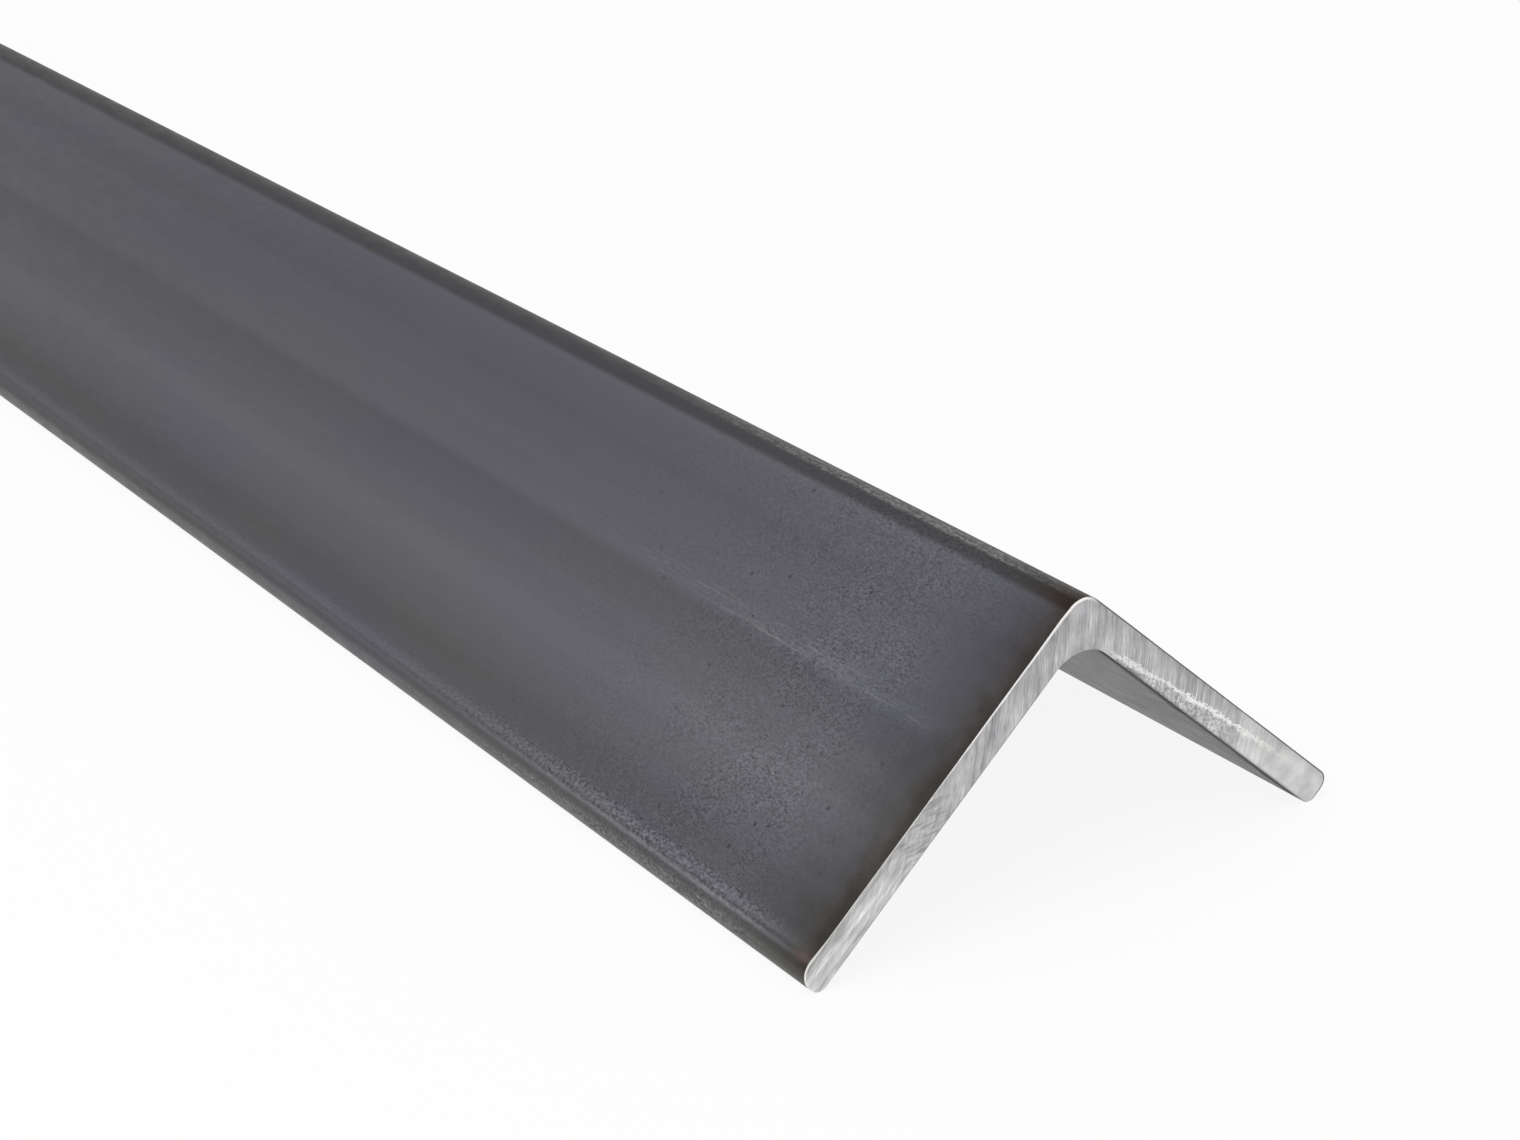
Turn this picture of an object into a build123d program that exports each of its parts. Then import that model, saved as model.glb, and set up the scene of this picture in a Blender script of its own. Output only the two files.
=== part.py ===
from build123d import *
import math
import os

# lengths in millimetres, angles in degrees, +Z up
# the bar lies heel up on its two toes, its length along Y, the skewed cut at -Y
stock_length = 1000.0
left_leg_width = 50.0
right_leg_width = 50.0
left_leg_thickness = 4.0
right_leg_thickness = 4.0
heel_radius = 2.5
root_radius = 4.4
left_toe_outer_radius = 2.6
right_toe_outer_radius = 1.7
toe_inner_radius = 1.1
# the left leg swells a little on its outer face just short of the rounded toe
toe_bead_height = 0.15
toe_bead_land = 0.3
toe_bead_run = 2.5
toe_bead_blend_radius = 6.0
# the near end is sawn out of square along the left leg
near_cut_skew = 5.5
near_cut_allowance = 20.0

# lean of the legs that brings both toes down to one level
lean = math.atan2(
    right_leg_width - left_leg_thickness, left_leg_width - right_leg_thickness
)
left_leg_way = Vector(-math.cos(lean), 0, -math.sin(lean))
right_leg_way = Vector(math.sin(lean), 0, -math.cos(lean))


def section_point(along_left, along_right):
    """A point of the section, from the sharp heel down each leg, as across and up."""
    spot = left_leg_way * along_left + right_leg_way * along_right
    return (spot.X, spot.Z)


bead_crest = left_leg_width - left_toe_outer_radius - toe_bead_land
corners = {
    "heel": (0, 0),
    "bead_start": (bead_crest - toe_bead_run, 0),
    "bead_crest": (bead_crest, -toe_bead_height),
    "left_toe_outer": (left_leg_width, -toe_bead_height),
    "left_toe_inner": (left_leg_width, left_leg_thickness),
    "root": (right_leg_thickness, left_leg_thickness),
    "right_toe_inner": (right_leg_thickness, right_leg_width),
    "right_toe_outer": (0, right_leg_width),
}
corner_radii = {
    "heel": heel_radius,
    "bead_start": toe_bead_blend_radius,
    "bead_crest": toe_bead_blend_radius,
    "left_toe_outer": left_toe_outer_radius,
    "left_toe_inner": toe_inner_radius,
    "root": root_radius,
    "right_toe_inner": toe_inner_radius,
    "right_toe_outer": right_toe_outer_radius,
}

# bar, rolled along Y from the far end, with some length to spare for the near cut
with BuildPart() as bar:
    # rolled section, every corner rounded at its own radius
    with BuildSketch(Plane.XZ.offset(-stock_length / 2)) as section:
        with BuildLine():
            Polyline(*[section_point(*spot) for spot in corners.values()], close=True)
        make_face()
        for name, spot in corners.items():
            sharp = Vector(*section_point(*spot))
            corner = section.vertices().sort_by_distance(sharp)[0]
            fillet(corner, radius=corner_radii[name])
    extrude(amount=stock_length + near_cut_allowance)

# near end, sawn through the heel corner at half the stock length
cut_slope = math.tan(math.radians(near_cut_skew))
cut_way = Vector(0, -1, 0) + left_leg_way * cut_slope
cut_plane = Plane(origin=(0, -stock_length / 2, 0), z_dir=cut_way)
steel_angle = split(bar.part, bisect_by=cut_plane, keep=Keep.BOTTOM)

# origin under the middle of the bounding box, on the floor the toes stand on
box = steel_angle.bounding_box()
steel_angle = Pos(-box.center().X, -box.center().Y, -box.min.Z) * steel_angle.solid()
steel_angle.label = "steel_angle"

os.makedirs("parts", exist_ok=True)
export_step(steel_angle, "parts/steel_angle.step")
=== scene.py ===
import math

import bmesh
import bpy
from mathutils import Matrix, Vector


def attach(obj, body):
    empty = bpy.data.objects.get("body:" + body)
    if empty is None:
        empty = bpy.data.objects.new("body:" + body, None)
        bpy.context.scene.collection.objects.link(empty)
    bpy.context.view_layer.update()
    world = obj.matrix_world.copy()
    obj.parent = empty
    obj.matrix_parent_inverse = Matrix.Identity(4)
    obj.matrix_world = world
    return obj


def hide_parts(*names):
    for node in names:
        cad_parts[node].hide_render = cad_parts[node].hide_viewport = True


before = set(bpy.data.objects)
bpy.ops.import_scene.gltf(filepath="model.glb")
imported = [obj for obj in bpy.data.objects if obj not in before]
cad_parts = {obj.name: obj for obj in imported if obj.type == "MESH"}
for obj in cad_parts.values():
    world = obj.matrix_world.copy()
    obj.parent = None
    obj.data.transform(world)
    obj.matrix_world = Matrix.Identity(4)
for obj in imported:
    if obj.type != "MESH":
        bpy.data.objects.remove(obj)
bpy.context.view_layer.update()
mm = 0.001
print("frame loaded:", ", ".join(sorted(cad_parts)))


def near(a, b, slack=0.02):
    return abs(a - b) < slack


# selects only the faces, edges or points whose middle (in mm) and way pass the test
def pickParts(piece, kind, test):
    bpy.ops.mesh.select_mode(type=kind)
    bpy.ops.mesh.select_all(action="DESELECT")
    mesh = bmesh.from_edit_mesh(piece.data)
    if kind == "FACE":
        found = [f for f in mesh.faces if test(f.calc_center_median() / mm, f.normal)]
    elif kind == "EDGE":
        ends = [(e, e.verts[0].co, e.verts[1].co) for e in mesh.edges]
        found = [e for e, a, b in ends if test((a + b) / 2 / mm, (b - a).normalized())]
    else:
        found = [v for v in mesh.verts if test(v.co / mm, v.normal)]
    for part in found:
        part.select_set(True)
    mesh.select_flush_mode()
    bmesh.update_edit_mesh(piece.data)


def cutAll(point, way, **also):  # a cut through all that shows
    bpy.ops.mesh.select_all(action="SELECT")
    bpy.ops.mesh.bisect(plane_co=[c * mm for c in point], plane_no=way, **also)


# a texture pushes the points along their normals or one axis; its size is in mm along each axis
def pressIn(piece, name, kind, settings, size, middle, height, level, way="NORMAL", group=""):
    texture = bpy.data.textures.new(name, kind)
    for key, value in settings.items():
        setattr(texture, key, value)
    bpy.ops.object.select_all(action="DESELECT")
    bpy.ops.object.empty_add(location=[c * mm for c in middle])
    guide = bpy.context.object
    guide.scale = [c * mm for c in size]
    bpy.context.view_layer.update()
    bpy.context.view_layer.objects.active = piece
    press = piece.modifiers.new(name, "DISPLACE")
    press.texture, press.texture_coords, press.texture_coords_object = texture, "OBJECT", guide
    press.strength, press.mid_level, press.direction, press.vertex_group = height * mm, level, way, group
    bpy.ops.object.modifier_apply(modifier=name)
    bpy.data.objects.remove(guide)


# the rolled bar, in mm and degrees. It is drawn with its heel on the origin, the left leg
# along -X and the right leg along -Z, then leaned over so that it stands on both toes
angleBar = {
    "length": 1000.0,
    "spare": 20.0,  # extra length that the two cuts take off again
    "legWidth": 50.0,
    "thickness": 4.0,
    "heelRadius": 2.5,
    "rootRadius": 4.4,
    "leftToeRadius": 2.6,
    "rightToeRadius": 1.7,
    "innerToeRadius": 1.1,
    "beadHeight": 0.15,
    "beadLand": 0.3,
    "beadRun": 2.5,
    "beadBlend": 0.18,
    "cutSkew": 5.5,
    "lean": 45.0,
    "heelAt": (-0.13336, 0, 37.72813),
    # lines drawn along the legs, from the first to this far short of the toe, and rows across
    "firstLine": 9,
    "lastGap": 5,
    "lineSpacing": 2.5,
    "rows": 100,
    # marks left by the rolls: distance from the heel along each leg, and how far proud
    "leftRollMarks": ((20.2, 0.03), (22.0, -0.025), (36.2, -0.02)),
    "rightRollMarks": ((16.8, 0.025), (31.5, -0.02)),
    "markWidth": 0.7,
    # slight long waves in the rolled faces
    "waveHeight": 0.07,
    "waveSize": (9.0, 120.0, 9.0),
    "waveShift": (3, 7, 5),
}
b = angleBar
width, thick, half = b["legWidth"], b["thickness"], b["length"] / 2
slope = math.tan(math.radians(b["cutSkew"]))

bpy.ops.object.select_all(action="DESELECT")
bpy.ops.mesh.primitive_cube_add(
    size=1,
    location=(-thick / 2 * mm, 0, -thick / 2 * mm),
    scale=(thick * mm, (b["length"] + 2 * b["spare"]) * mm, thick * mm),
)
bar = bpy.context.object
bar.name = bar.data.name = "steelAngle"
bpy.ops.object.transform_apply(location=True, rotation=True, scale=True)

# both legs are pulled out of the heel
bpy.ops.object.mode_set(mode="EDIT")
pickParts(bar, "FACE", lambda at, way: way.x < -0.9)
bpy.ops.mesh.extrude_region_move(TRANSFORM_OT_translate={"value": (-(width - thick) * mm, 0, 0)})
pickParts(bar, "FACE", lambda at, way: way.z < -0.9 and at.x > -thick)
bpy.ops.mesh.extrude_region_move(TRANSFORM_OT_translate={"value": (0, 0, -(width - thick) * mm)})

# the bead just short of the left toe
beadCrest = width - b["leftToeRadius"] - b["beadLand"]
beadStart = beadCrest - b["beadRun"]
for along in (beadStart, beadCrest):
    cutAll((-along, 0, 0), (1, 0, 0))
pickParts(bar, "VERT", lambda at, way: near(at.z, 0) and at.x < -beadCrest + 0.1)
bpy.ops.transform.translate(value=(0, 0, b["beadHeight"] * mm))


# rounds the long edge that runs through this spot of the section
def roundEdge(across, up, radius, steps):
    pickParts(bar, "EDGE", lambda at, way: abs(way.y) > 0.9 and near(at.x, across) and near(at.z, up))
    bpy.ops.mesh.bevel(
        offset_type="OFFSET",
        offset=radius * mm,
        segments=steps,
        profile=0.5,
        affect="EDGES",
        clamp_overlap=False,
    )


roundEdge(-beadStart, 0, b["beadBlend"], 4)
roundEdge(-beadCrest, b["beadHeight"], b["beadBlend"], 4)
roundEdge(0, 0, b["heelRadius"], 14)
roundEdge(-thick, -thick, b["rootRadius"], 14)
roundEdge(-width, b["beadHeight"], b["leftToeRadius"], 14)
roundEdge(-width, -thick, b["innerToeRadius"], 8)
roundEdge(0, -width, b["rightToeRadius"], 12)
roundEdge(-thick, -width, b["innerToeRadius"], 8)

# lines along both legs for the marks of the rolls, then rows across them
for n in range(int((width - b["firstLine"] - b["lastGap"]) / b["lineSpacing"])):
    along = b["firstLine"] + n * b["lineSpacing"]
    cutAll((-along, 0, 0), (1, 0, 0))
    cutAll((0, 0, -along), (0, 0, 1))
for marks, leg in ((b["leftRollMarks"], 0), (b["rightRollMarks"], 2)):
    way = [float(axis == leg) for axis in range(3)]
    out = [float(axis == 2 - leg) for axis in range(3)]
    for along, proud in marks:
        for aside in (-0.5, 0, 0.5):
            cutAll([-(along + aside * b["markWidth"]) * w for w in way], way)
        pickParts(bar, "VERT", lambda at, normal: near(at[leg], -along) and near(at[2 - leg], 0))
        bpy.ops.transform.translate(value=[proud * mm * w for w in out])
pickParts(bar, "EDGE", lambda at, way: abs(way.y) > 0.9)
bpy.ops.mesh.subdivide(number_cuts=b["rows"])
bpy.ops.object.mode_set(mode="OBJECT")
waves = {"noise_scale": 1.0, "noise_depth": 2}
pressIn(bar, "rollWaves", "CLOUDS", waves, b["waveSize"], b["waveShift"], b["waveHeight"], 1.0)
print("bar rolled:", len(bar.data.polygons), "faces")

# the sawn ends, in mm
sawnEnd = {
    "rimWidth": 0.17,  # a worn edge round the cut
    "rimDrop": 0.12,
    "gridStep": 0.4,
    # at the near end the disc was tipped for a second pass along the inside of the right leg. It
    # left a ridge that starts at the root and bends out as it nears the toe: how far down the leg
    # it runs, its depth from the outer face, and how strongly it bends
    "ridgeRun": (8.0, 40.0),
    "ridgeDepth": (3.7, 1.55),
    "ridgeBend": 1.75,
    "passDrop": 0.07,
    "passStep": 0.6,
    # arcs of the teeth, struck from the middle of the disc (across and up), and a slight dishing
    "discAt": (-85.0, 32.0),
    "toothPitch": 1.5,
    "toothHeight": 0.05,
    "dishSize": 6.0,
    "dishHeight": 0.1,
}
s = sawnEnd
(run0, run1), (deep0, deep1) = s["ridgeRun"], s["ridgeDepth"]
# sawn square at the far end, and out of square along the left leg at the near end
cuts = (("nearCut", -half + s["rimDrop"], (-slope, -1, 0)), ("farCut", half - s["rimDrop"], (0, 1, 0)))
bpy.ops.object.mode_set(mode="EDIT")
for name, place, way in cuts:
    cutAll((0, place, 0), way, clear_outer=True, use_fill=True)
    pickParts(bar, "FACE", lambda at, normal: normal.y * way[1] > 0.99)
    bpy.ops.mesh.inset(thickness=s["rimWidth"] * mm, depth=s["rimDrop"] * mm)
    bpy.ops.mesh.hide(unselected=True)  # only the cut shows, so the grid stays on it
    for n in range(1, int(width / s["gridStep"])):
        cutAll((-n * s["gridStep"], 0, 0), (1, 0, 0))
        cutAll((0, 0, -n * s["gridStep"]), (0, 0, 1))
    bpy.ops.mesh.select_all(action="SELECT")
    bpy.ops.object.vertex_group_add()
    bar.vertex_groups.active.name = name
    bpy.ops.object.vertex_group_assign()
    bpy.ops.mesh.reveal()


def ridgeDepthAt(down):
    return deep1 + (deep0 - deep1) * max(0, (run1 - down) / (run1 - run0)) ** s["ridgeBend"]


# the second pass falls away from the ridge in small steps, and runs out towards the toe
for n in range(3):
    pickParts(
        bar,
        "VERT",
        lambda at, way: at.y < -half + 0.5
        and -at.x < thick + 0.1
        and -at.z < run1 + 3 - 3 * n
        and -at.x > ridgeDepthAt(-at.z) + n * s["passStep"],
    )
    bpy.ops.transform.translate(value=(0, s["passDrop"] * mm, 0))
bpy.ops.object.mode_set(mode="OBJECT")

bar.rotation_euler = (0, -math.radians(b["lean"]), 0)
bar.location = [c * mm for c in b["heelAt"]]
bpy.ops.object.select_all(action="DESELECT")
bar.select_set(True)
bpy.context.view_layer.objects.active = bar
bpy.ops.object.transform_apply(location=True, rotation=True, scale=True)
for name, place, way in cuts:
    middle = (s["discAt"][0], place, s["discAt"][1])
    ring = 20 * s["toothPitch"] / math.tau  # the ring texture has 20 radians to the unit
    teeth = {"wood_type": "RINGNOISE", "noise_basis_2": "SIN", "noise_scale": 0.3, "turbulence": 4.0}
    tall = -way[1] * s["toothHeight"]
    pressIn(bar, "teeth" + name, "WOOD", teeth, [ring] * 3, middle, tall, 0.0, "Y", name)
    dish, tall = [s["dishSize"]] * 3, -way[1] * s["dishHeight"]
    pressIn(bar, "dish" + name, "CLOUDS", {"noise_scale": 1.0}, dish, middle, tall, 0.0, "Y", name)
bar.vertex_groups.clear()
for face in bar.data.polygons:
    face.material_index = int(abs(face.normal.y) > 0.5)  # bare steel on both cuts
bpy.ops.object.select_all(action="DESELECT")
bar.select_set(True)
bpy.ops.object.shade_smooth_by_angle(angle=math.radians(30))
print("ends sawn:", len(bar.data.polygons), "faces")


def linearOf(hexText):  # sRGB hex to the linear colour that a shader reads
    parts = [int(hexText[n : n + 2], 16) / 255 for n in (0, 2, 4)]
    return [c / 12.92 if c <= 0.04045 else ((c + 0.055) / 1.055) ** 2.4 for c in parts] + [1]


# adds a node and gives back its first output, or the one asked for. A value that is another
# node's output is linked, and any other goes to the input or the setting of that name. A pair of
# inputs takes a pair of values
def addNode(kind, values, output=0):
    node = tree.nodes.new("ShaderNode" + kind)
    for name, value in values.items():
        if name == "stops":
            for place, tone in value[1:-1]:
                node.color_ramp.elements.new(place)
            for stop, (place, tone) in zip(node.color_ramp.elements, value):
                stop.position, stop.color = place, tone
        elif isinstance(name, tuple):
            for part, number in zip(name, value):
                node.inputs[part].default_value = number
        elif isinstance(value, bpy.types.NodeSocket):
            tree.links.new(value, node.inputs[name])
        elif isinstance(name, int) or name in node.inputs:
            node.inputs[name].default_value = value
        else:
            setattr(node, name, value)
    return node.outputs[output]


def newTree(name):
    made = bpy.data.materials.new(name)
    made.use_nodes = True
    made.node_tree.nodes.clear()
    return made, made.node_tree


# settings that many nodes share. A MapRange takes a pair of values in at 1 and 2, and gives a pair
# out at 3 and 4, from nought to one unless it is told
mixed = {"data_type": "RGBA"}
multiplied = {"data_type": "RGBA", "blend_type": "MULTIPLY", 0: 1.0}
eased = {"interpolation_type": "SMOOTHSTEP"}
falling = {(3, 4): (1.0, 0.0)}


# where a point is in the upright section, in mm: its place, how far it is down the nearer leg,
# how deep below the outer face, and whether it is on the left leg
def sectionPlace():
    turn = math.radians(b["lean"])
    across, up = b["heelAt"][0], b["heelAt"][2]
    shift = (
        -across * math.cos(turn) - up * math.sin(turn),
        0,
        across * math.sin(turn) - up * math.cos(turn),
    )
    spot = addNode("TexCoord", {}, "Object")
    place = addNode("Mapping", {0: spot, "Location": shift, "Rotation": (0, turn, 0), "Scale": [1 / mm] * 3})
    x, y, z = addNode("SeparateXYZ", {0: place}, slice(0, 3))
    nearer = addNode("Math", {"operation": "MINIMUM", 0: x, 1: z})
    outer = addNode("Math", {"operation": "MAXIMUM", 0: x, 1: z})
    down = addNode("Math", {"operation": "MULTIPLY", 0: nearer, 1: -1.0})
    deep = addNode("Math", {"operation": "MULTIPLY", 0: outer, 1: -1.0})
    onLeft = addNode("Math", {"operation": "LESS_THAN", 0: x, 1: z})
    return place, x, y, down, deep, onLeft


# hot-rolled mill scale: the hard iron oxide skin of a rolled bar. It is a satin dark grey, bluish
# towards the heel and olive at the toes, with soft long bands and drag marks from the rolls and a
# fine pressed grain drawn out along the bar. Beside the cuts the saw has heated it darker and browner.
# Painted shade darkens the heel and, a little, the bar away from the cuts, and painted highlight and
# shade lie along the left toe's bead
scaleLook = {
    # hue by distance from the heel in mm
    "hues": (
        (0, "5d5d64"), (11, "5d5c64"), (17, "5d5d64"), (24, "5d5d63"), (38, "5e5e63"), (43, "5f5e5e"),
        (45.4, "5e5e63"), (47.6, "5e5e63"), (48.3, "5f5f5e"), (50, "605f5e"),
    ),
    # colour of the cloudy patches, and the most of it that any place takes
    "violet": "5b5a66",
    "violetMost": 0.6,
    "green": "5b5e5f",
    "greenMost": 0.14,
    # painted shade on the heel, plain and burnt brown beside the cuts
    "heel": "454548",
    "heelShadeBurnt": "443936",
    "heelLine": "828283",
    "inside": "575857",
    "draggedAndHighlight": "9a9a9c",
    "rust": "705a54",
    # size of each pattern in mm (across, along, up), and how much fine detail it has. The grain
    # and the specks are drawn about twice as coarse as the real ones, so that they show
    "patterns": {
        "patch": ((12, 60, 12), 2.0),
        "tint": ((16, 80, 16), 2.0),
        "band": ((3.4, 500, 3.4), 3.0),
        "wander": ((6, 90, 6), 1.0),
        "grain": ((0.23, 0.42, 0.23), 2.0),
        "peel": ((1.4, 4.0, 1.4), 2.0),
        "specks": ((0.22, 0.8, 0.22), 1.0),
        "gravel": ((0.34, 0.55, 0.34), 1.6),
        "drag": ((0.2, 2.4, 0.2), 2.0),
        "skip": ((0.7, 9.0, 0.7), 1.0),
        "blotch": ((8, 8, 8), 2.0),
        "scorch": ((2.5, 2.5, 2.5), 4.0),
    },
    # tone that the rolls left, by distance from the heel in mm, measured on round the toe. On the left leg
    # from 42 mm on it is painted highlight and shade: light on the bead, dark beside it and at the toe's
    # edge
    "leftTones": (
        (0, 1.06), (3.6, 1.08), (6, 0.98), (9, 0.95), (14, 0.98), (18, 1.09), (20.6, 1.08),
        (22.1, 0.925), (23.2, 0.925), (25, 0.955), (29, 1.1), (34, 1.2), (36.6, 1.1), (40, 0.98),
        (42.5, 0.87), (45.2, 0.83), (45.5, 0.87), (46.0, 1.02), (46.4, 1.1), (46.75, 1.12),
        (47.0, 0.9), (47.2, 0.89), (47.45, 1.0), (47.7, 1.0), (47.9, 0.88), (48.1, 0.81),
        (48.6, 0.82), (49.1, 1.12), (49.4, 1.05), (50.2, 0.94), (51.2, 0.72),
    ),
    "rightTones": (
        (0, 1.0), (5, 1.05), (11, 0.94), (16.4, 1.08), (17.3, 0.93), (24, 1.0), (30, 1.08),
        (31.8, 0.95), (38, 1.02), (43, 0.9), (46, 1.08), (47.5, 0.88), (48.5, 1.15), (50, 1.15),
    ),
    # the painted dark shade on the heel ends over this distance down the leg, and its rubbed line lies
    # between these
    "heelEdge": (2.4, 3.3),
    "heelLineStart": (0.6, 0.95),
    "heelLineEnd": (1.05, 1.5),
    "heelLineGrit": (0.35, 1.6),
    # over what distance from the cut, in mm, the heel is burnt, and what rubs the bar fades and begins
    "burntOver": (0.0, 12.0),
    "wornOver": (25.0, 95.0),
    "beginOver": (3.0, 14.0),
    # marks dragged along the bar, and painted highlights on the bead and its crest: where each begins and
    # ends across the leg in mm, its strength, and how broken it is. The whole ones begin nearer to the cut
    "dragMarksAndHighlights": {
        "haze": ((18.6, 19.3, 20.3, 21.0), 0.12, 1.0),
        "highLine": ((18.65, 18.75, 18.8, 18.9), 0.17, 1.0),
        "upperLine": ((19.25, 19.4, 19.5, 19.65), 0.27, 1.0),
        "middleLine": ((19.75, 19.85, 19.9, 20.0), 0.12, 1.0),
        "lowerLine": ((20.3, 20.45, 20.55, 20.7), 0.24, 1.0),
        # painted highlights along the bead and its crest
        "beadHighlight": ((46.2, 46.4, 46.7, 46.85), 0.2, 0.7),
        "crestHighlight": ((47.25, 47.5, 47.7, 47.95), 0.46, 0.4),
    },
    "soonerOver": (0.5, 9.0),
    # by distance from the cut in mm: how plain the grain is, and how the heat of the saw has stained it,
    # with painted shade darkening the bar further from the cut
    "grainBelt": (
        (0, 0.16), (6, 0.18), (12, 0.5), (17, 0.95), (24, 1.0), (34, 0.7), (54, 0.28), (84, 0.1),
        (110, 0.08),
    ),
    "heatStainAndShade": (
        (0, "9a8f80"), (0.6, "a19686"), (1.5, "b2a798"), (2.5, "bfbaae"), (4, "cccac4"),
        (6, "d6d5d4"), (11, "eaebea"), (18, "fcfcfc"), (28, "f9f9f9"), (50, "f5f5f5"),
        (120, "ededed"), (200, "e6e6e6"),
    ),
    # the inner faces turn near black close to the cut
    "undersideDark": "2a2928",
    "undersideOver": (1.2, 3.2),
    # how light and dark specks multiply the tone, by the height of their noise
    "speckTones": ((0.27, 0.45), (0.39, 1.0), (0.65, 1.0), (0.74, 1.3)),
    # pits where scale has popped off: how far apart they lie and how large they are, in mm
    "pitSpacing": 3.8,
    "pitSize": 0.3,
    "pit": "2e2e30",
    # coarser grain left on the toe, by distance from the heel as above, and where it fades from the cut
    "toeGrain": (
        (45, 0), (45.6, 0.8), (47.5, 0.7), (47.9, 0.1), (48.6, 0.1), (49.1, 0.8), (50.2, 0.8), (51, 0.3),
    ),
    "toeGrainOver": (35.0, 90.0),
    "toeGrainTone": (0.42, 1.55),
    # rust by distance from the cut, on which part of the toe it starts and stops, and how much at most
    "rustOver": (1.0, 4.5),
    "rustStart": (46.7, 47.1),
    "rustEnd": (47.4, 48.0),
    "rustMost": 0.42,
    # height of the relief in mm
    "relief": {"grain": 0.05, "peel": 0.07, "band": 0.1, "specks": 0.012},
    "metallic": 0.8,
    "roughness": (0.4, 0.5),
    "undersideRoughness": 0.95,
}
k = scaleLook
millScale, tree = newTree("hotRolledMillScale")
place, x, y, down, deep, onLeft = sectionPlace()
noise = {}
for n, (name, (size, detail)) in enumerate(k["patterns"].items()):
    apart = (7.3 * n, 3.1 * n, 5.7 * n)  # so that no two patterns fall together
    spread = {"operation": "MULTIPLY_ADD", 0: place, 1: [1 / v for v in size], 2: apart}
    spread = addNode("VectorMath", spread)
    noise[name] = addNode("TexNoise", {"Scale": 1.0, "Detail": detail, 0: spread}, "Fac")
inside = addNode("MapRange", {0: deep, (1, 2): (1.6, 3.4)})
outside = addNode("MapRange", {0: deep, (1, 2): (1.6, 3.4), **falling})

# distance from the nearer cut
skewed = addNode("Math", {"operation": "MULTIPLY_ADD", 0: x, 1: slope, 2: y})
fromNear = addNode("Math", {"operation": "ADD", 0: skewed, 1: half})
fromFar = addNode("Math", {"operation": "SUBTRACT", 0: half, 1: y})
fromCut = addNode("Math", {"operation": "MINIMUM", 0: fromNear, 1: fromFar})

# the hue across each leg and its slow drift along the bar, then the tone, which round the left toe is
# painted highlight and shade
legReach = 52.0
roundToe = addNode("Math", {"operation": "MULTIPLY_ADD", 0: deep, 1: 0.57, 2: down})
drift = addNode("MapRange", {0: noise["wander"], (1, 2): (0.3, 0.7), (3, 4): (-0.2, 0.2)})
drifted = addNode("Math", {"operation": "ADD", 0: roundToe, 1: drift})
share = addNode("Math", {"operation": "DIVIDE", 0: drifted, 1: legReach})
stops = [(at / legReach, linearOf(tone)) for at, tone in k["hues"]]
colour = addNode("ValToRGB", {0: share, "stops": stops})
patchShare = addNode("MapRange", {0: noise["patch"], (1, 2): (0.45, 0.7), 4: k["violetMost"]})
colour = addNode("Mix", {**mixed, 0: patchShare, 6: colour, 7: linearOf(k["violet"])}, 2)
tintShare = addNode("MapRange", {0: noise["tint"], (1, 2): (0.45, 0.7), 4: k["greenMost"]})
colour = addNode("Mix", {**mixed, 0: tintShare, 6: colour, 7: linearOf(k["green"])}, 2)
colour = addNode("Mix", {**mixed, 0: inside, 6: colour, 7: linearOf(k["inside"])}, 2)
legTones = []
for leg in ("rightTones", "leftTones"):
    stops = [(at / legReach, [tone / 2] * 3 + [1]) for at, tone in k[leg]]  # halved, to stay under one
    legTones.append(addNode("ValToRGB", {0: share, "stops": stops}))
tone = addNode("Mix", {**mixed, 0: onLeft, 6: legTones[0], 7: legTones[1]}, 2)
tone = addNode("Mix", {**mixed, 0: outside, 6: [0.5, 0.5, 0.5, 1], 7: tone}, 2)
tone = addNode("Mix", {**multiplied, 6: tone, 7: [2, 2, 2, 1]}, 2)
streak = addNode("MapRange", {0: noise["band"], (1, 2): (0.3, 0.7), (3, 4): (0.94, 1.06)})
for shade in (tone, streak):
    colour = addNode("Mix", {**multiplied, 6: colour, 7: shade}, 2)

# the heel is rolled smoother and painted darker as shade, the shade burnt brown beside the cuts, with a
# rubbed line along its crown. What rubs the bar rubs it most towards the cuts
worn = addNode("MapRange", {**eased, 0: fromCut, (1, 2): k["wornOver"], **falling})
burnt = addNode("MapRange", {**eased, 0: fromCut, (1, 2): k["burntOver"], **falling})
dark = addNode("Mix", {**mixed, 0: burnt, 6: linearOf(k["heel"]), 7: linearOf(k["heelShadeBurnt"])}, 2)
heel = addNode("MapRange", {**eased, 0: down, (1, 2): k["heelEdge"], **falling})
colour = addNode("Mix", {**mixed, 0: heel, 6: colour, 7: dark}, 2)
line = addNode("MapRange", {**eased, 0: down, (1, 2): k["heelLineStart"]})
lineEnd = addNode("MapRange", {**eased, 0: down, (1, 2): k["heelLineEnd"], **falling})
rubbed = addNode("MapRange", {0: noise["drag"], (1, 2): (0.35, 0.6), (3, 4): (0.25, 0.95)})
begin = addNode("MapRange", {**eased, 0: fromCut, (1, 2): k["beginOver"]})
shy = addNode("MapRange", {0: begin, 3: 0.45})
gritty = addNode("MapRange", {0: noise["gravel"], (1, 2): (0.36, 0.62), (3, 4): k["heelLineGrit"]})
for factor in (lineEnd, rubbed, gritty, worn, shy):
    line = addNode("Math", {"operation": "MULTIPLY", 0: line, 1: factor})
colour = addNode("Mix", {**mixed, 0: line, 6: colour, 7: linearOf(k["heelLine"])}, 2)

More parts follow.
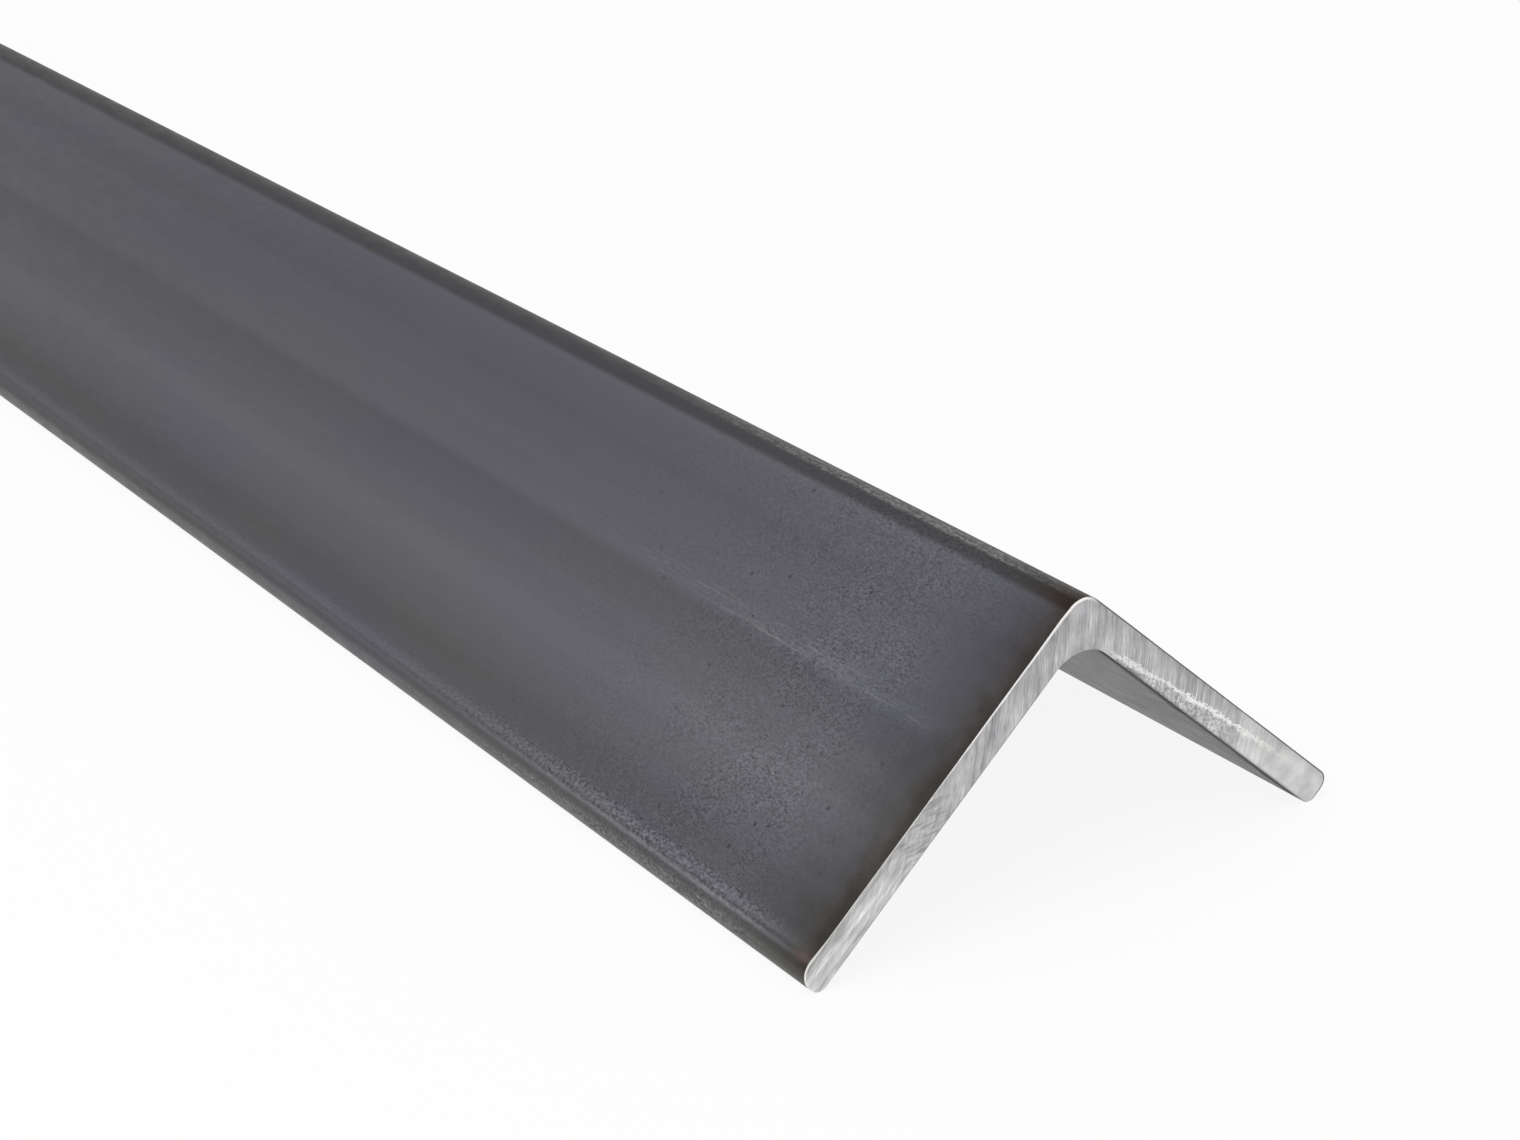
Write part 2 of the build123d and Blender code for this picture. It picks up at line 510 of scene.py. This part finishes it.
# grain and specks, plainest in a belt a little way from each cut, where they come and go in blotches
reach = k["grainBelt"][-1][0]
belt = addNode("Math", {"operation": "DIVIDE", 0: fromCut, 1: reach})
stops = [(at / reach, [amount] * 3 + [1]) for at, amount in k["grainBelt"]]
belt = addNode("ValToRGB", {0: belt, "stops": stops})
blotch = addNode("MapRange", {0: noise["blotch"], (1, 2): (0.35, 0.6), (3, 4): (0.5, 1.15)})
strength = addNode("Math", {"operation": "MULTIPLY", 0: belt, 1: blotch})
fleck = addNode("MapRange", {0: noise["grain"], (1, 2): (0.32, 0.68), (3, 4): (0.66, 1.34)})
stops = [(at, [amount / 2] * 3 + [1]) for at, amount in k["speckTones"]]
speck = addNode("ValToRGB", {0: noise["specks"], "stops": stops})
speck = addNode("Math", {"operation": "MULTIPLY", 0: speck, 1: 2.0})
fleck = addNode("Math", {"operation": "MULTIPLY", 0: fleck, 1: speck})
fleck = addNode("Mix", {**mixed, 0: strength, 6: [1, 1, 1, 1], 7: fleck}, 2)
colour = addNode("Mix", {**multiplied, 6: colour, 7: fleck}, 2)
pit = addNode("VectorMath", {"operation": "MULTIPLY", 0: place, 1: [1 / k["pitSpacing"]] * 3})
pit = addNode("TexVoronoi", {0: pit, "Scale": 1.0}, "Distance")
pit = addNode("Math", {"operation": "MULTIPLY", 0: pit, 1: k["pitSpacing"] / k["pitSize"]})
pit = addNode("MapRange", {0: pit, (1, 2): (0.6, 1.1), (3, 4): (0.7, 0.0)})
for factor in (worn, begin, outside):
    pit = addNode("Math", {"operation": "MULTIPLY", 0: pit, 1: factor})
colour = addNode("Mix", {**mixed, 0: pit, 6: colour, 7: linearOf(k["pit"])}, 2)

# the toe of the left leg keeps a coarser grain, from close to the cut
stops = [(at / legReach, [amount] * 3 + [1]) for at, amount in k["toeGrain"]]
toeBand = addNode("Math", {"operation": "DIVIDE", 0: roundToe, 1: legReach})
toeBand = addNode("ValToRGB", {0: toeBand, "stops": stops})
toeFade = addNode("MapRange", {**eased, 0: fromCut, (1, 2): k["toeGrainOver"], (3, 4): (1.0, 0.25)})
for factor in (begin, toeFade, onLeft, outside):
    toeBand = addNode("Math", {"operation": "MULTIPLY", 0: toeBand, 1: factor})
coarse = addNode("MapRange", {0: noise["gravel"], (1, 2): (0.34, 0.66), (3, 4): k["toeGrainTone"]})
coarse = addNode("Mix", {**mixed, 0: toeBand, 6: [1, 1, 1, 1], 7: coarse}, 2)
colour = addNode("Mix", {**multiplied, 6: colour, 7: coarse}, 2)

# what has been dragged along it, and painted highlights along the bead and its crest
dashed = addNode("MapRange", {0: noise["drag"], (1, 2): (0.42, 0.62)})
skipped = addNode("MapRange", {0: noise["skip"], (1, 2): (0.42, 0.56), (3, 4): (0.1, 1.0)})
dashed = addNode("Math", {"operation": "MULTIPLY", 0: dashed, 1: skipped})
sooner = addNode("MapRange", {0: fromCut, (1, 2): k["soonerOver"], 3: 0.1})
for (from0, from1, to0, to1), most, broken in k["dragMarksAndHighlights"].values():
    mark = addNode("MapRange", {0: down, (1, 2): (from0, from1), 4: most})
    markEnd = addNode("MapRange", {0: down, (1, 2): (to0, to1), **falling})
    dashes = addNode("Mix", {"data_type": "FLOAT", 0: broken, 2: 1.0, 3: dashed}, 0)
    for factor in (markEnd, dashes, begin if broken == 1 else sooner, worn, outside, onLeft):
        mark = addNode("Math", {"operation": "MULTIPLY", 0: mark, 1: factor})
    colour = addNode("Mix", {**mixed, 0: mark, 6: colour, 7: linearOf(k["draggedAndHighlight"])}, 2)

# heat from the saw, and painted shade that darkens the bar further from the cuts
reach = k["heatStainAndShade"][-1][0]
scorch = addNode("MapRange", {0: noise["scorch"], (1, 2): (0.3, 0.7), (3, 4): (-1.0, 1.0)})
heated = addNode("Math", {"operation": "ADD", 0: fromCut, 1: scorch})
heated = addNode("Math", {"operation": "DIVIDE", 0: heated, 1: reach})
stops = [(at / reach, linearOf(tone)) for at, tone in k["heatStainAndShade"]]
stainAndShade = addNode("ValToRGB", {0: heated, "stops": stops})
colour = addNode("Mix", {**multiplied, 6: colour, 7: stainAndShade}, 2)
# the inner faces turn near black, matt and rough right beside the cuts
beside = addNode("Math", {"operation": "MULTIPLY_ADD", 0: scorch, 1: 0.6, 2: fromCut})
beside = addNode("MapRange", {0: beside, (1, 2): k["undersideOver"], (3, 4): (0.75, 0.0)})
beside = addNode("Math", {"operation": "MULTIPLY", 0: beside, 1: inside})
colour = addNode("Mix", {**mixed, 0: beside, 6: colour, 7: linearOf(k["undersideDark"])}, 2)

# a first bloom of rust where the toe was cut
bloom = addNode("MapRange", {**eased, 0: fromCut, (1, 2): k["rustOver"], **falling})
onCrest = addNode("MapRange", {0: roundToe, (1, 2): k["rustStart"]})
offCrest = addNode("MapRange", {0: roundToe, (1, 2): k["rustEnd"], **falling})
patchy = addNode("MapRange", {0: noise["scorch"], (1, 2): (0.35, 0.55), 4: k["rustMost"]})
for factor in (onCrest, offCrest, patchy, outside, onLeft):
    bloom = addNode("Math", {"operation": "MULTIPLY", 0: bloom, 1: factor})
colour = addNode("Mix", {**mixed, 0: bloom, 6: colour, 7: linearOf(k["rust"])}, 2)

height = addNode("Math", {"operation": "MULTIPLY", 0: noise["grain"], 1: strength})
height = addNode("Math", {"operation": "MULTIPLY", 0: height, 1: k["relief"]["grain"]})
for name in ("peel", "band", "specks"):
    height = addNode("Math", {"operation": "MULTIPLY_ADD", 0: noise[name], 1: k["relief"][name], 2: height})
satin = addNode("MapRange", {0: noise["peel"], (1, 2): (0.3, 0.7), (3, 4): k["roughness"]})
skin = {
    "Metallic": addNode("MapRange", {0: beside, (3, 4): (k["metallic"], 0.0)}),
    "Base Color": colour,
    "Roughness": addNode("Mix", {"data_type": "FLOAT", 0: beside, 2: satin, 3: k["undersideRoughness"]}, 0),
    "Normal": addNode("Bump", {"Distance": mm, "Height": height}),
}
addNode("OutputMaterial", {0: addNode("BsdfPrincipled", skin)}, slice(0, 0))
print("mill scale wired")

# bare steel as the cut-off disc leaves it: bright grey metal with the arcs of the disc and a few
# scratches across it, smeared smoother and brighter towards the toes, and a torn ridge beside the
# second pass, painted near white as a highlight. The left leg keeps a burr, painted white as a
# highlight, and the right leg's outer edge and the inner edges are darkened with painted shade
sawLook = {
    "heelDark": "9a999b",
    "heelLight": "cdcbcd",
    "toeDark": "b6b5b5",
    "toeLight": "dededd",
    # painted highlight along the torn ridge
    "ridge": "f8f8f6",
    # painted highlight on the burr
    "burrHighlight": "fbfbf9",
    # painted shade along the right leg's outer edge and the inner edges
    "shadedEdge": "5e5e5e",
    "chip": "8b8c8b",
    "patterns": {
        "blotch": ((2.4, 2.4, 2.4), 3.0),
        "torn": ((0.7, 1, 2.2), 4.0),
        "crumb": ((0.3, 1, 0.5), 2.0),
        "rubble": ((0.28, 0.3, 0.5), 3.0),
        "smear": ((9, 1, 0.5), 2.0),
    },
    # along the disc's radius, and round it
    "arcs": {"fine": (0.2, 3.5, 1), "wide": (1.2, 12.0, 1), "scratch": (0.16, 3.0, 1)},
    # light and dark scratches among the arcs, by the height of their noise
    "scratches": ((0.27, 0.5), (0.38, 1.0), (0.6, 1.0), (0.72, 1.4)),
    # over what distance from the heel, in mm, the steel turns lighter, and each toe is smeared
    "lighterOver": (22.0, 40.0),
    "rightSmearOver": (36.0, 43.0),
    "leftSmearOver": (29.0, 36.0),
    # chips dragged across the left leg: where they start and end, turned this much, this large
    "chipStart": (24.0, 27.0),
    "chipEnd": (32.0, 35.0),
    "chipTurn": -38.0,
    "chipSize": (2.4, 1, 0.4),
    # how far the ridge wanders to each side, and how the rubble inside it multiplies the tone
    "ragged": 0.25,
    "crumbly": 0.22,
    "rubbleTone": (0.66, 1.25),
    # how whole the burr is and how wide, by distance from the heel in mm
    "burrWhole": ((0, 1.0), (19, 0.85), (25, 0.45), (44, 0.4), (47.5, 0.7), (49.2, 0.6), (49.8, 0.3)),
    "burrWidth": ((0, 0.42), (2.5, 0.36), (9, 0.26), (20, 0.24), (45, 0.2), (47.5, 0.16), (50, 0.14)),
    # the painted shade along the edges, by distance from the outer and from the inner edge
    "outerShading": (0.12, 0.25),
    "innerShading": (0.25, 0.1),
    # height of the relief in mm
    "tornHeight": 0.15,
    "relief": {"fine": 0.025, "wide": 0.05},
    "ridgeHeight": 0.06,
    "roughness": (0.3, 0.45),
}
k = sawLook
sawnSteel, tree = newTree("sawCutSteel")
place, x, y, down, deep, onLeft = sectionPlace()
spot = addNode("TexCoord", {}, "Object")
discAt = (-s["discAt"][0], 0, -s["discAt"][1])
fromDisc = addNode("Mapping", {0: spot, "Location": discAt, "Scale": (1 / mm, 0, 1 / mm)})
arm = addNode("SeparateXYZ", {0: fromDisc}, slice(0, 3))
radius = addNode("VectorMath", {"operation": "LENGTH", 0: fromDisc}, "Value")
angle = addNode("Math", {"operation": "ARCTAN2", 0: arm[2], 1: arm[0]})
around = addNode("Math", {"operation": "MULTIPLY", 0: angle, 1: -s["discAt"][0]})
arcPlace = addNode("CombineXYZ", {0: radius, 1: around})
noise = {}
for name, (size, detail) in k["patterns"].items():
    spread = addNode("VectorMath", {"operation": "MULTIPLY", 0: place, 1: [1 / v for v in size]})
    noise[name] = addNode("TexNoise", {"Scale": 1.0, "Detail": detail, 0: spread}, "Fac")
for name, size in k["arcs"].items():
    spread = addNode("VectorMath", {"operation": "MULTIPLY", 0: arcPlace, 1: [1 / v for v in size]})
    noise[name] = addNode("TexNoise", {"Scale": 1.0, 0: spread}, "Fac")
onRight = addNode("Math", {"operation": "SUBTRACT", 0: 1.0, 1: onLeft})

# distance from the outer edge, round the heel and the toes as well
heelRound = b["heelRadius"]
inHeel = addNode("CombineXYZ", {0: down, 1: deep})
inHeel = addNode("VectorMath", {"operation": "SUBTRACT", 0: [heelRound, heelRound, 0], 1: inHeel})
inHeel = addNode("VectorMath", {"operation": "MAXIMUM", 0: inHeel, 1: [0, 0, 0]})
inHeel = addNode("VectorMath", {"operation": "LENGTH", 0: inHeel}, "Value")
inHeel = addNode("Math", {"operation": "SUBTRACT", 0: heelRound, 1: inHeel})
toeRadius = addNode("MapRange", {0: onLeft, (3, 4): (b["rightToeRadius"], b["leftToeRadius"])})
toTip = addNode("Math", {"operation": "SUBTRACT", 0: down, 1: width})
toTip = addNode("Math", {"operation": "ADD", 0: toTip, 1: toeRadius})
inToe = addNode("Math", {"operation": "SUBTRACT", 0: toeRadius, 1: deep})
inToe = addNode("CombineXYZ", {0: toTip, 1: inToe})
inToe = addNode("VectorMath", {"operation": "MAXIMUM", 0: inToe, 1: [0, 0, 0]})
inToe = addNode("VectorMath", {"operation": "LENGTH", 0: inToe}, "Value")
inToe = addNode("Math", {"operation": "SUBTRACT", 0: toeRadius, 1: inToe})
fromEdge = addNode("Math", {"operation": "MINIMUM", 0: inHeel, 1: inToe})

# streaks of the disc between dark and light steel, the right toe smeared flat
toToe = addNode("MapRange", {**eased, 0: down, (1, 2): k["lighterOver"]})
heelDark, heelLight, toeDark, toeLight = [
    linearOf(k[name]) for name in ("heelDark", "heelLight", "toeDark", "toeLight")
]
dark = addNode("Mix", {**mixed, 0: toToe, 6: heelDark, 7: toeDark}, 2)
light = addNode("Mix", {**mixed, 0: toToe, 6: heelLight, 7: toeLight}, 2)
streak = addNode("Math", {"operation": "MULTIPLY", 0: noise["wide"], 1: 0.5})
streak = addNode("Math", {"operation": "MULTIPLY_ADD", 0: noise["fine"], 1: 0.5, 2: streak})
streak = addNode("MapRange", {0: streak, (1, 2): (0.36, 0.64)})
flat = addNode("MapRange", {**eased, 0: down, (1, 2): k["rightSmearOver"], 4: 0.75})
flat = addNode("Math", {"operation": "MULTIPLY", 0: flat, 1: onRight})
streak = addNode("Mix", {"data_type": "FLOAT", 0: flat, 2: streak, 3: 0.55}, 0)
colour = addNode("Mix", {**mixed, 0: streak, 6: dark, 7: light}, 2)
stops = [(at, [tone / 2] * 3 + [1]) for at, tone in k["scratches"]]
scratch = addNode("ValToRGB", {0: noise["scratch"], "stops": stops})
scratch = addNode("Mix", {**mixed, 0: toToe, 6: scratch, 7: [0.5, 0.5, 0.5, 1]}, 2)
scratch = addNode("Mix", {**multiplied, 6: scratch, 7: [2, 2, 2, 1]}, 2)
blotch = addNode("MapRange", {0: noise["blotch"], (1, 2): (0.35, 0.65), (3, 4): (0.88, 1.12)})
outerEdge = addNode("MapRange", {**eased, 0: deep, (1, 2): (0.1, 1.4), (3, 4): (0.88, 1.0)})
for shade in (scratch, blotch, outerEdge):
    colour = addNode("Mix", {**multiplied, 6: colour, 7: shade}, 2)

# the left toe is smeared along the leg, brightest down its middle
smear = addNode("MapRange", {0: noise["smear"], (1, 2): (0.35, 0.65), (3, 4): (0.78, 1.15)})
middle = addNode("MapRange", {**eased, 0: deep, (1, 2): (0.8, 1.7), (3, 4): (0.9, 1.18)})
innerSide = addNode("MapRange", {**eased, 0: deep, (1, 2): (2.3, 3.4), (3, 4): (1.0, 0.84)})
for factor in (middle, innerSide):
    smear = addNode("Math", {"operation": "MULTIPLY", 0: smear, 1: factor})
smeared = addNode("MapRange", {**eased, 0: down, (1, 2): k["leftSmearOver"]})
smeared = addNode("Math", {"operation": "MULTIPLY", 0: smeared, 1: onLeft})
smear = addNode("Mix", {**mixed, 0: smeared, 6: [1, 1, 1, 1], 7: smear}, 2)
colour = addNode("Mix", {**multiplied, 6: colour, 7: smear}, 2)

# chips dragged back across the left leg
chipStart = addNode("MapRange", {0: down, (1, 2): k["chipStart"]})
chipEnd = addNode("MapRange", {0: down, (1, 2): k["chipEnd"], **falling})
turned = addNode("Mapping", {0: place, "Rotation": (0, math.radians(k["chipTurn"]), 0)})
chip = addNode("VectorMath", {"operation": "MULTIPLY", 0: turned, 1: [1 / v for v in k["chipSize"]]})
chip = addNode("TexNoise", {"Scale": 1.0, 0: chip}, "Fac")
chip = addNode("MapRange", {0: chip, (1, 2): (0.48, 0.66), 4: 0.75})
for factor in (chipStart, chipEnd, onLeft):
    chip = addNode("Math", {"operation": "MULTIPLY", 0: chip, 1: factor})
colour = addNode("Mix", {**mixed, 0: chip, 6: colour, 7: linearOf(k["chip"])}, 2)

# the torn ridge on the right leg of the near end, with spikes along the arcs outside it and rough
# steel inside it. The ridge and the spikes are painted near white as a highlight
left = addNode("MapRange", {0: down, (1, 2): s["ridgeRun"], **falling})
bend = addNode("Math", {"operation": "POWER", 0: left, 1: s["ridgeBend"]})
ridgeDepth = addNode("Math", {"operation": "MULTIPLY_ADD", 0: bend, 1: deep0 - deep1, 2: deep1})
beyond = addNode("Math", {"operation": "SUBTRACT", 0: deep, 1: ridgeDepth})
for name, most in (("torn", k["ragged"]), ("crumb", k["crumbly"])):
    wander = addNode("MapRange", {0: noise[name], (1, 2): (0.3, 0.7), (3, 4): (-most, most)})
    beyond = addNode("Math", {"operation": "ADD", 0: beyond, 1: wander})
start = addNode("MapRange", {0: down, (1, 2): (run0 - 1, run0 + 3)})
end = addNode("MapRange", {0: down, (1, 2): (run1 - 8, run1 + 3), **falling})
where = addNode("Math", {"operation": "LESS_THAN", 0: y, 1: 0.0})
for factor in (onRight, start, end):
    where = addNode("Math", {"operation": "MULTIPLY", 0: where, 1: factor})
rough = addNode("MapRange", {0: beyond, (1, 2): (0.1, 0.4)})
roughEnd = addNode("MapRange", {0: down, (1, 2): (run1 - 12, run1 - 4), (3, 4): (1.0, 0.15)})
for factor in (where, roughEnd):
    rough = addNode("Math", {"operation": "MULTIPLY", 0: rough, 1: factor})
rubble = addNode("MapRange", {0: noise["rubble"], (1, 2): (0.35, 0.65), (3, 4): k["rubbleTone"]})
rubble = addNode("Mix", {**multiplied, 6: colour, 7: rubble}, 2)
colour = addNode("Mix", {**mixed, 0: rough, 6: colour, 7: rubble}, 2)
ridge = addNode("MapRange", {0: beyond, (1, 2): (-0.27, -0.06)})
ridgeBack = addNode("MapRange", {0: beyond, (1, 2): (0.08, 0.42), **falling})
broken = addNode("MapRange", {0: noise["rubble"], (1, 2): (0.32, 0.48), (3, 4): (0.55, 1.0)})
bold = addNode("MapRange", {0: down, (1, 2): (16.0, 24.0), (3, 4): (0.72, 1.0)})
for factor in (ridgeBack, broken, bold):
    ridge = addNode("Math", {"operation": "MULTIPLY", 0: ridge, 1: factor})
spikes = addNode("MapRange", {0: beyond, (1, 2): (-1.7, -0.1), 4: 0.75})
spiked = addNode("MapRange", {0: noise["scratch"], (1, 2): (0.5, 0.66)})
offRidge = addNode("MapRange", {0: beyond, (1, 2): (-0.1, 0.3), **falling})
for factor in (spiked, offRidge):
    spikes = addNode("Math", {"operation": "MULTIPLY", 0: spikes, 1: factor})
ridge = addNode("Math", {"operation": "MAXIMUM", 0: ridge, 1: spikes})
ridge = addNode("Math", {"operation": "MULTIPLY", 0: ridge, 1: where})
colour = addNode("Mix", {**mixed, 0: ridge, 6: colour, 7: linearOf(k["ridge"])}, 2)

# the burr over the heel and the left leg, painted white as a highlight, then the painted shade along the
# edges
along = addNode("Math", {"operation": "DIVIDE", 0: down, 1: width})
burrShades = []
for name in ("burrWhole", "burrWidth"):
    stops = [(at / width, [amount] * 3 + [1]) for at, amount in k[name]]
    burrShades.append(addNode("ValToRGB", {0: along, "stops": stops}))
burrHighlight = addNode("Math", {"operation": "DIVIDE", 0: fromEdge, 1: burrShades[1]})
burrHighlight = addNode("MapRange", {0: burrHighlight, (1, 2): (0.7, 1.15), **falling})
overHeel = addNode("MapRange", {0: down, (1, 2): (1.0, 3.0), **falling})
overHeel = addNode("Math", {"operation": "MAXIMUM", 0: overHeel, 1: onLeft})
for factor in (overHeel, burrShades[0]):
    burrHighlight = addNode("Math", {"operation": "MULTIPLY", 0: burrHighlight, 1: factor})
colour = addNode("Mix", {**mixed, 0: burrHighlight, 6: colour, 7: linearOf(k["burrHighlight"])}, 2)
# painted shade: the right leg's outer edge and the inner edges are darkened
edgeShading = addNode("MapRange", {0: fromEdge, (1, 2): k["outerShading"], **falling})
offHeel = addNode("Math", {"operation": "SUBTRACT", 0: 1.0, 1: overHeel})
edgeShading = addNode("Math", {"operation": "MULTIPLY", 0: edgeShading, 1: offHeel})
innerRim = addNode("MapRange", {0: deep, (1, 2): [thick - v for v in k["innerShading"]]})
innerShading = addNode("MapRange", {0: down, (1, 2): (9.0, 12.0), 4: 0.5})
innerRim = addNode("Math", {"operation": "MULTIPLY", 0: innerRim, 1: innerShading})
edgeShading = addNode("Math", {"operation": "MAXIMUM", 0: edgeShading, 1: innerRim})
colour = addNode("Mix", {**mixed, 0: edgeShading, 6: colour, 7: linearOf(k["shadedEdge"])}, 2)

height = addNode("Math", {"operation": "MULTIPLY", 0: noise["torn"], 1: rough})
height = addNode("Math", {"operation": "MULTIPLY", 0: height, 1: k["tornHeight"]})
for name, tall in k["relief"].items():
    height = addNode("Math", {"operation": "MULTIPLY_ADD", 0: noise[name], 1: tall, 2: height})
height = addNode("Math", {"operation": "MULTIPLY_ADD", 0: ridge, 1: k["ridgeHeight"], 2: height})
metal = {
    "Metallic": 1.0,
    "Base Color": colour,
    "Roughness": addNode("MapRange", {0: noise["fine"], (1, 2): (0.3, 0.7), (3, 4): k["roughness"]}),
    "Normal": addNode("Bump", {"Distance": mm, "Height": height}),
}
addNode("OutputMaterial", {0: addNode("BsdfPrincipled", metal)}, slice(0, 0))
bar.data.materials.append(millScale)
bar.data.materials.append(sawnSteel)

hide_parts("steel_angle")
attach(bar, "root")
print("sawn steel wired")

# white paper sweep, a soft box to the left of the camera and an even room
studio = {
    "paper": [0.94, 0.94, 0.94, 1],
    "white": [0.98, 0.98, 0.98, 1],
    # how much of the paper's own white the eye, metal and glass see, so that its shadow stays pale
    "glow": 0.92,
    # light of the room by the height of its direction
    "room": ((0, 0.66), (0.2, 0.7), (0.35, 0.78), (0.52, 0.95), (1, 0.42)),
    "lampPower": 19.0,
    "lampSize": 1.2,
    "lampAt": (-1.0, -0.6, 1.3),
    "lampTo": (0, -0.4, 0),
}
bpy.ops.object.select_all(action="DESELECT")
bpy.ops.mesh.primitive_plane_add(size=16)
floor = bpy.context.object
floor.name = floor.data.name = "studioFloor"
paper, tree = newTree("whitePaper")
matt = addNode("BsdfDiffuse", {"Color": studio["paper"]})
white = addNode("Emission", {"Color": studio["white"], "Strength": 1.0})
eye, mirror, glass = [
    addNode("LightPath", {}, "Is " + ray + " Ray") for ray in ("Camera", "Glossy", "Transmission")
]
seen = addNode("Math", {"operation": "MAXIMUM", 0: mirror, 1: glass})
seen = addNode("Math", {"operation": "MAXIMUM", 0: seen, 1: eye})
seen = addNode("Math", {"operation": "MULTIPLY", 0: seen, 1: studio["glow"]})
addNode("OutputMaterial", {0: addNode("MixShader", {0: seen, 1: matt, 2: white})}, slice(0, 0))
floor.data.materials.append(paper)

world = bpy.data.worlds.new("studioRoom")
bpy.context.scene.world = world
world.use_nodes = True
tree = world.node_tree
tree.nodes.clear()
direction = addNode("TexCoord", {}, "Generated")
upward = addNode("SeparateXYZ", {0: direction}, "Z")
room = addNode("ValToRGB", {0: upward, "stops": [(at, [tone] * 3 + [1]) for at, tone in studio["room"]]})
addNode("OutputWorld", {0: addNode("Background", {"Color": room})}, slice(0, 0))

bpy.ops.object.light_add(type="AREA", location=studio["lampAt"])
lamp = bpy.context.object
lamp.name = "softBox"
lamp.data.shape = "SQUARE"
lamp.data.size = studio["lampSize"]
lamp.data.energy = studio["lampPower"]
lamp.rotation_euler = (Vector(studio["lampTo"]) - lamp.location).to_track_quat("-Z", "Y").to_euler()

cameraSet = {
    "location": (-0.181293, -0.717955, 0.176981),
    "turn": (64.3957, 3.5682, -34.7384),
    "lens": 72.563,
}
turn = [math.radians(a) for a in cameraSet["turn"]]
bpy.ops.object.camera_add(location=cameraSet["location"], rotation=turn)
camera = bpy.context.object
camera.name = "productCamera"
camera.data.lens = cameraSet["lens"]
camera.data.sensor_width = 36
camera.data.clip_start = 0.01
camera.data.clip_end = 100
bpy.context.scene.camera = camera
bpy.context.scene.view_settings.view_transform = "Standard"
print("studio ready")
